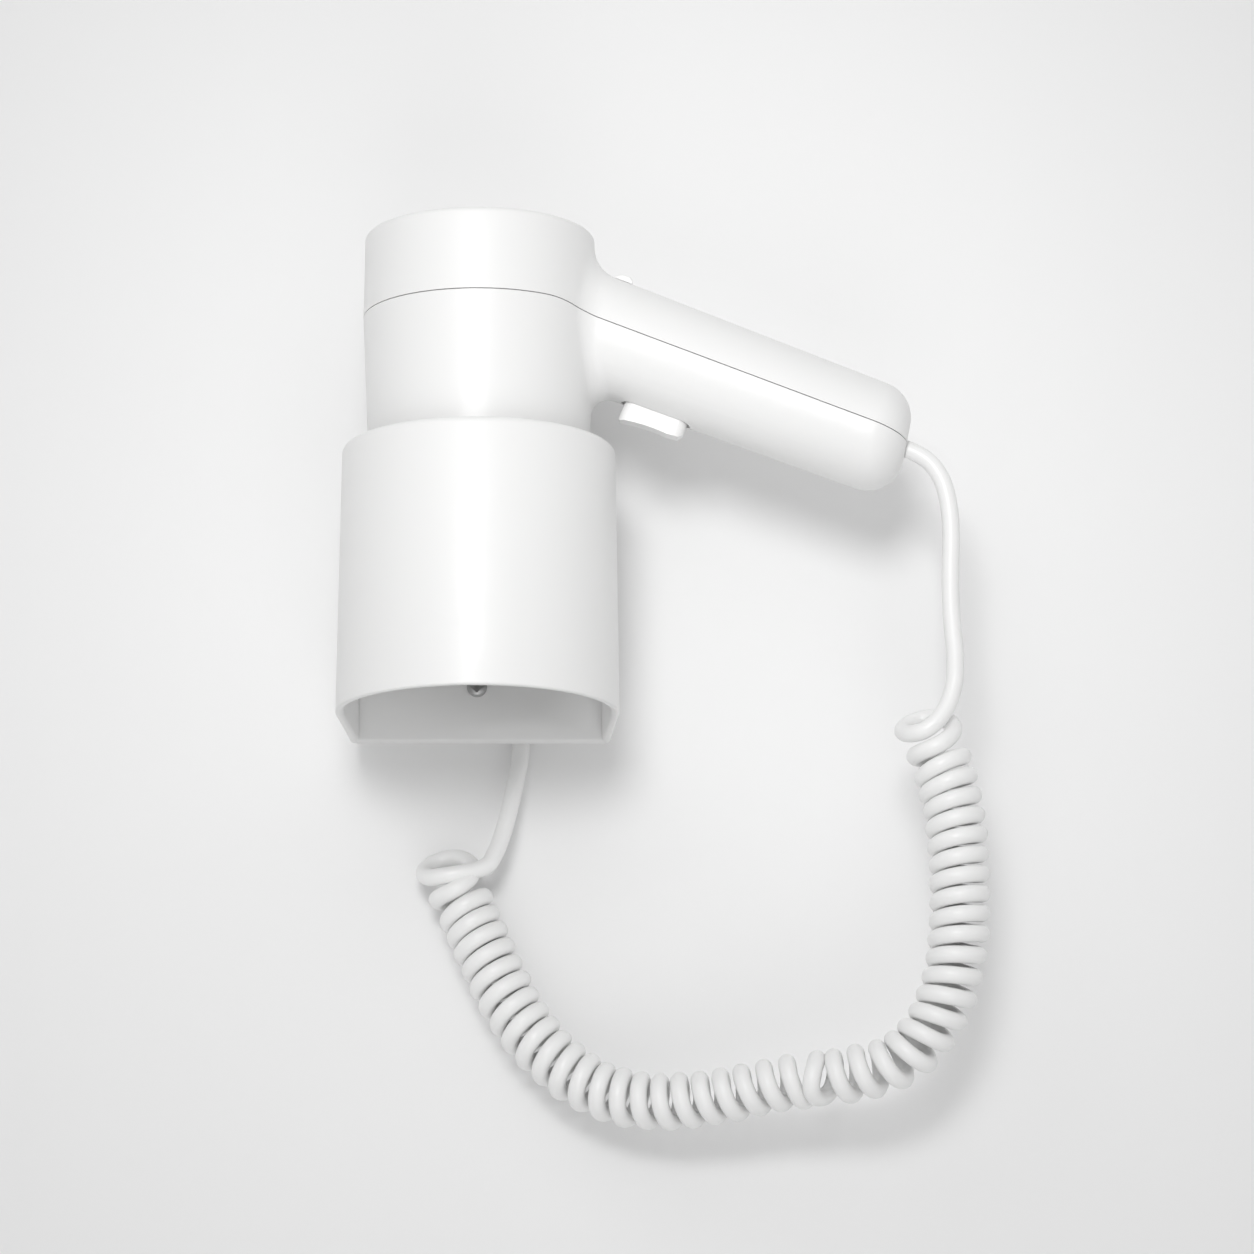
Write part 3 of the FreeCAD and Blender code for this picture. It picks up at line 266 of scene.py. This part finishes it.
def tube_mesh(name, path, radius, sides):
    """A round tube along a line, with closed ends and no twist."""
    mesh = bmesh.new()
    normal = Vector((0, 1, 0))
    rings = []
    for number, point in enumerate(path):
        before = path[max(number - 1, 0)]
        after = path[min(number + 1, len(path) - 1)]
        tangent = (after - before).normalized()
        normal = (normal - tangent * normal.dot(tangent)).normalized()
        side = tangent.cross(normal)
        ring = []
        for corner in range(sides):
            angle = 2 * math.pi * corner / sides
            ring.append(mesh.verts.new(point + (normal * math.cos(angle) + side * math.sin(angle)) * radius))
        rings.append(ring)
    for first, second in zip(rings, rings[1:]):
        for corner in range(sides):
            following = (corner + 1) % sides
            mesh.faces.new((first[corner], first[following], second[following], second[corner]))
    mesh.faces.new(reversed(rings[0]))
    mesh.faces.new(rings[-1])
    bmesh.ops.recalc_face_normals(mesh, faces=mesh.faces)
    return finish_mesh(name, mesh)


def finish_mesh(name, mesh, flat=False):
    data = bpy.data.meshes.new(name)
    mesh.to_mesh(data)
    mesh.free()
    for polygon in data.polygons:
        polygon.use_smooth = not flat
    item = bpy.data.objects.new(name, data)
    scene.collection.objects.link(item)
    return item


def make_cord():
    helix, turns = make_helix()
    handle_tail = spline_points("handle_tail", HANDLE_TAIL, 10)
    holster_tail = spline_points("holster_tail", HOLSTER_TAIL, 10)
    line = joined(handle_tail, helix, 0.014)
    line = joined(list(reversed(holster_tail)), list(reversed(line)), 0.014)
    line.reverse()
    cord = tube_mesh("curly_cord", line, FLEX / 2, 16)
    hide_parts("cord_handle_tail", "cord_coil", "cord_holster_tail")
    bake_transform(cord)
    return cord


cord = make_cord()


# Materials


def node_chain(name):
    material = bpy.data.materials.new(name)
    material.use_nodes = True
    tree = material.node_tree
    shader = tree.nodes["Principled BSDF"]
    coordinates = tree.nodes.new("ShaderNodeTexCoord")
    return material, tree, shader, coordinates


def noise(tree, coordinates, scale, detail=3.0, stretch=None, roughness=0.5):
    """A noise in the object's own metres, stretched along an axis where asked."""
    texture = tree.nodes.new("ShaderNodeTexNoise")
    texture.inputs["Scale"].default_value = scale
    texture.inputs["Detail"].default_value = detail
    texture.inputs["Roughness"].default_value = roughness
    source = coordinates.outputs["Object"]
    if stretch:
        mapping = tree.nodes.new("ShaderNodeMapping")
        mapping.inputs["Scale"].default_value = stretch
        tree.links.new(source, mapping.inputs["Vector"])
        source = mapping.outputs["Vector"]
    tree.links.new(source, texture.inputs["Vector"])
    return texture.outputs["Fac"]


def spread(tree, source, low, high, start=0.3, end=0.7):
    """The source's middle range as a value from low to high."""
    change = tree.nodes.new("ShaderNodeMapRange")
    change.inputs["From Min"].default_value = start
    change.inputs["From Max"].default_value = end
    change.inputs["To Min"].default_value = low
    change.inputs["To Max"].default_value = high
    tree.links.new(source, change.inputs["Value"])
    return change.outputs["Result"]


def colours(tree, source, first, second, start=0.3, end=0.7):
    ramp = tree.nodes.new("ShaderNodeValToRGB")
    ramp.color_ramp.elements[0].position = start
    ramp.color_ramp.elements[0].color = (*first, 1)
    ramp.color_ramp.elements[1].position = end
    ramp.color_ramp.elements[1].color = (*second, 1)
    tree.links.new(source, ramp.inputs["Fac"])
    return ramp.outputs["Color"]


def bump(tree, shader, layers):
    """Stacked bumps: each layer is a height source and its depth in metres."""
    last = None
    for height, depth in layers:
        node = tree.nodes.new("ShaderNodeBump")
        node.inputs["Strength"].default_value = 1.0
        node.inputs["Distance"].default_value = depth
        tree.links.new(height, node.inputs["Height"])
        if last:
            tree.links.new(last, node.inputs["Normal"])
        last = node.outputs["Normal"]
    tree.links.new(last, shader.inputs["Normal"])


def shade(colour, factor):
    return tuple(min(part * factor, 1.0) for part in colour)


def moulded_plastic(name, colour, rough, grain=0.000006, coat=0.0, soft=0.0, blotch=0.994):
    """Moulded plastic: faint flow marks in the colour, uneven gloss, fine grain and long waves."""
    material, tree, shader, coordinates = node_chain(name)
    marks = noise(tree, coordinates, 38.0, 4.0, (1, 1, 0.45))
    tree.links.new(colours(tree, marks, shade(colour, blotch), colour, 0.1, 0.9), shader.inputs["Base Color"])
    sheen_marks = noise(tree, coordinates, 160.0, 4.0)
    tree.links.new(spread(tree, sheen_marks, rough * 0.88, rough * 1.14), shader.inputs["Roughness"])
    fine = noise(tree, coordinates, 2600.0, 2.0)
    waves = noise(tree, coordinates, 42.0, 1.0)
    bump(tree, shader, [(waves, grain * 3), (fine, grain)])
    shader.inputs["Coat Weight"].default_value = coat
    shader.inputs["Coat Roughness"].default_value = 0.2
    shader.inputs["Subsurface Weight"].default_value = soft
    shader.inputs["Subsurface Radius"].default_value = (0.004, 0.004, 0.004)
    return material


def brushed_metal(name, colour, rough, stretch, tint=0.8):
    """Sheet metal or turned steel: fine scratches one way, uneven gloss and stains."""
    material, tree, shader, coordinates = node_chain(name)
    shader.inputs["Metallic"].default_value = 1.0
    stains = noise(tree, coordinates, 120.0, 5.0)
    tree.links.new(colours(tree, stains, shade(colour, tint), colour), shader.inputs["Base Color"])
    scratches = noise(tree, coordinates, 900.0, 4.0, stretch, 0.7)
    tree.links.new(spread(tree, scratches, rough * 0.7, rough * 1.4), shader.inputs["Roughness"])
    bump(tree, shader, [(scratches, 0.000012)])
    return material


def banded(name, first, second, rough, scale, direction, metallic=1.0):
    """Stacked laminations, wound wire or mesh: fine regular bands along one axis."""
    material, tree, shader, coordinates = node_chain(name)
    wave = tree.nodes.new("ShaderNodeTexWave")
    wave.bands_direction = direction
    wave.inputs["Scale"].default_value = scale
    wave.inputs["Distortion"].default_value = 0.4
    tree.links.new(coordinates.outputs["Object"], wave.inputs["Vector"])
    tree.links.new(colours(tree, wave.outputs["Fac"], first, second, 0.2, 0.8), shader.inputs["Base Color"])
    tree.links.new(spread(tree, noise(tree, coordinates, 400.0), rough * 0.8, rough * 1.3),
                   shader.inputs["Roughness"])
    shader.inputs["Metallic"].default_value = metallic
    bump(tree, shader, [(wave.outputs["Fac"], 0.00006)])
    return material


WHITE = (0.885, 0.885, 0.88)


def make_materials():
    return {
        "shell_plastic": moulded_plastic("shell_plastic", shade(WHITE, 0.95), 0.42, coat=0.08),
        "holster_plastic": moulded_plastic("holster_plastic", shade(WHITE, 0.95), 0.42, coat=0.08),
        "control_plastic": moulded_plastic("control_plastic", shade(WHITE, 0.985), 0.34, grain=0.000009,
                                           coat=0.15),
        "inner_plastic": moulded_plastic("inner_plastic", (0.86, 0.86, 0.85), 0.55, grain=0.00002),
        "grille_plastic": moulded_plastic("grille_plastic", shade(WHITE, 0.97), 0.36, grain=0.00001,
                                          coat=0.1),
        "filter_mesh": banded("filter_mesh", (0.02, 0.02, 0.022), (0.09, 0.09, 0.095), 0.6, 320.0,
                              "DIAGONAL", 0.0),
        "dark_plastic": moulded_plastic("dark_plastic", (0.022, 0.022, 0.024), 0.45, grain=0.00002,
                                        blotch=0.8),
        "mica_board": moulded_plastic("mica_board", (0.42, 0.33, 0.2), 0.4, grain=0.00003, blotch=0.75),
        "heater_wire": brushed_metal("heater_wire", (0.38, 0.33, 0.3), 0.38, (1, 1, 1), 0.6),
        "shield_metal": brushed_metal("shield_metal", (0.62, 0.62, 0.62), 0.3, (1, 1, 14)),
        "steel": brushed_metal("steel", (0.5, 0.5, 0.5), 0.34, (1, 12, 1)),
        "laminations": banded("laminations", (0.12, 0.11, 0.11), (0.3, 0.29, 0.28), 0.42, 420.0, "Z"),
        "magnet": moulded_plastic("magnet", (0.03, 0.03, 0.032), 0.5, grain=0.00002, blotch=0.8),
        "copper": banded("copper", (0.55, 0.22, 0.1), (0.75, 0.38, 0.2), 0.3, 500.0, "Z"),
        "circuit_board": moulded_plastic("circuit_board", (0.02, 0.13, 0.05), 0.35, grain=0.00001,
                                         blotch=0.7),
        "wire_sheath": moulded_plastic("wire_sheath", (0.45, 0.03, 0.02), 0.4, grain=0.00001, blotch=0.85),
        "cord_sheath": moulded_plastic("cord_sheath", shade(WHITE, 0.985), 0.33, grain=0.000008,
                                       soft=0.08, coat=0.1),
        "bush_rubber": moulded_plastic("bush_rubber", shade(WHITE, 0.95), 0.5, grain=0.00001),
    }


def merge_copy(name, angle):
    """The same surface with its facets' corners merged, so that it shades without creases."""
    source = frame["nodes"][name]
    mesh = bmesh.new()
    mesh.from_mesh(source.data)
    bmesh.ops.transform(mesh, matrix=source.matrix_world, verts=mesh.verts)
    bmesh.ops.remove_doubles(mesh, verts=mesh.verts, dist=0.000004)
    item = finish_mesh(name + "_smooth", mesh)
    item.data.set_sharp_from_angle(angle=math.radians(angle))
    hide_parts(name)
    return item


slot_of = {row["node"]: row["material_slot"] for row in frame["record"]["subparts"]}
smooth_pieces = {name: merge_copy(name, angle) for name, angle in (
    ("rear_housing", 24), ("front_housing", 24), ("holster_shell", 30), ("trigger_spring", 30))}
for name, item in smooth_pieces.items():
    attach(item, "holster" if name == "holster_shell" else "dryer")
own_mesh(smooth_pieces["trigger_spring"])

materials = make_materials()
for name, item in frame["nodes"].items():
    item.data.materials.clear()
    item.data.materials.append(materials[slot_of[name]])
for name, item in smooth_pieces.items():
    item.data.materials.clear()
    item.data.materials.append(materials[slot_of[name]])
cord.data.materials.append(materials["cord_sheath"])


# Stage


def backdrop_material(name, colour):
    """Matt paint that is seen only from its front."""
    material, tree, shader, coordinates = node_chain(name)
    mottling = noise(tree, coordinates, 3.0, 6.0)
    tree.links.new(colours(tree, mottling, shade(colour, 0.985), colour), shader.inputs["Base Color"])
    bump(tree, shader, [(noise(tree, coordinates, 420.0, 3.0), 0.00004)])
    shader.inputs["Roughness"].default_value = 0.85
    shader.inputs["Specular IOR Level"].default_value = 0.2
    output = tree.nodes["Material Output"]
    clear = tree.nodes.new("ShaderNodeBsdfTransparent")
    facing = tree.nodes.new("ShaderNodeNewGeometry")
    choice = tree.nodes.new("ShaderNodeMixShader")
    tree.links.new(facing.outputs["Backfacing"], choice.inputs["Fac"])
    tree.links.new(shader.outputs["BSDF"], choice.inputs[1])
    tree.links.new(clear.outputs["BSDF"], choice.inputs[2])
    tree.links.new(choice.outputs["Shader"], output.inputs["Surface"])
    return material


def make_plane(name, corners, material):
    mesh = bmesh.new()
    mesh.faces.new([mesh.verts.new(corner) for corner in corners])
    item = finish_mesh(name, mesh, flat=True)
    item.data.materials.append(material)
    return item


def make_wall(reach, level, top, depth, material):
    """The wall, left open behind the wall plate so that the plate's back is lit."""
    plate = frame["nodes"]["wall_plate"]
    box = [plate.matrix_world @ Vector(corner) for corner in plate.bound_box]
    inset = 0.0005
    left, right = min(corner.x for corner in box) + inset, max(corner.x for corner in box) - inset
    low, high = min(corner.z for corner in box) + inset, max(corner.z for corner in box) - inset
    mesh = bmesh.new()
    outer = [mesh.verts.new((x, depth, z)) for x, z in (
        (-reach, level), (reach, level), (reach, top), (-reach, top))]
    inner = [mesh.verts.new((x, depth, z)) for x, z in (
        (left, low), (right, low), (right, high), (left, high))]
    for number in range(4):
        following = (number + 1) % 4
        mesh.faces.new((outer[number], outer[following], inner[following], inner[number]))
    item = finish_mesh("wall", mesh, flat=True)
    item.data.materials.append(material)


def make_stage():
    reach, level, front = 3.0, -1.3, -4.0
    wall = 0.0006
    make_wall(reach, level, 2.5, wall, backdrop_material("wall_paint", (0.86, 0.86, 0.86)))
    make_plane("floor",
               [(-reach, wall, level), (-reach, front, level), (reach, front, level), (reach, wall, level)],
               backdrop_material("floor_paint", (0.8, 0.8, 0.8)))


def aim_light(name, data, place, target):
    item = bpy.data.objects.new(name, data)
    item.location = place
    item.rotation_mode = "QUATERNION"
    item.rotation_quaternion = (Vector(target) - Vector(place)).to_track_quat("-Z", "Y")
    scene.collection.objects.link(item)


def area_light(name, place, target, width, height, power):
    data = bpy.data.lights.new(name, "AREA")
    data.shape = "RECTANGLE"
    data.size = width
    data.size_y = height
    data.energy = power
    aim_light(name, data, place, target)


def soft_spot(name, place, target, cone, radius, power):
    data = bpy.data.lights.new(name, "SPOT")
    data.spot_size = math.radians(cone)
    data.spot_blend = 1.0
    data.shadow_soft_size = radius
    data.energy = power
    aim_light(name, data, place, target)


def make_lights():
    world = bpy.data.worlds.new("studio")
    scene.world = world
    world.use_nodes = True
    backdrop = world.node_tree.nodes["Background"]
    backdrop.inputs["Color"].default_value = (1, 1, 1, 1)
    backdrop.inputs["Strength"].default_value = 0.57
    area_light("key", (-0.5, -1.7, 1.25), (0.03, -0.05, 0.0), 1.5, 1.5, 4.0)
    area_light("fill", (0.1, -1.1, -1.0), (0.0, -0.06, -0.08), 0.9, 0.9, 3.2)
    soft_spot("pool", (-0.1, -1.85, 0.3), (0.055, 0.0, 0.07), 27, 0.3, 74.0)
    scene.view_settings.view_transform = "Standard"


make_stage()
make_lights()
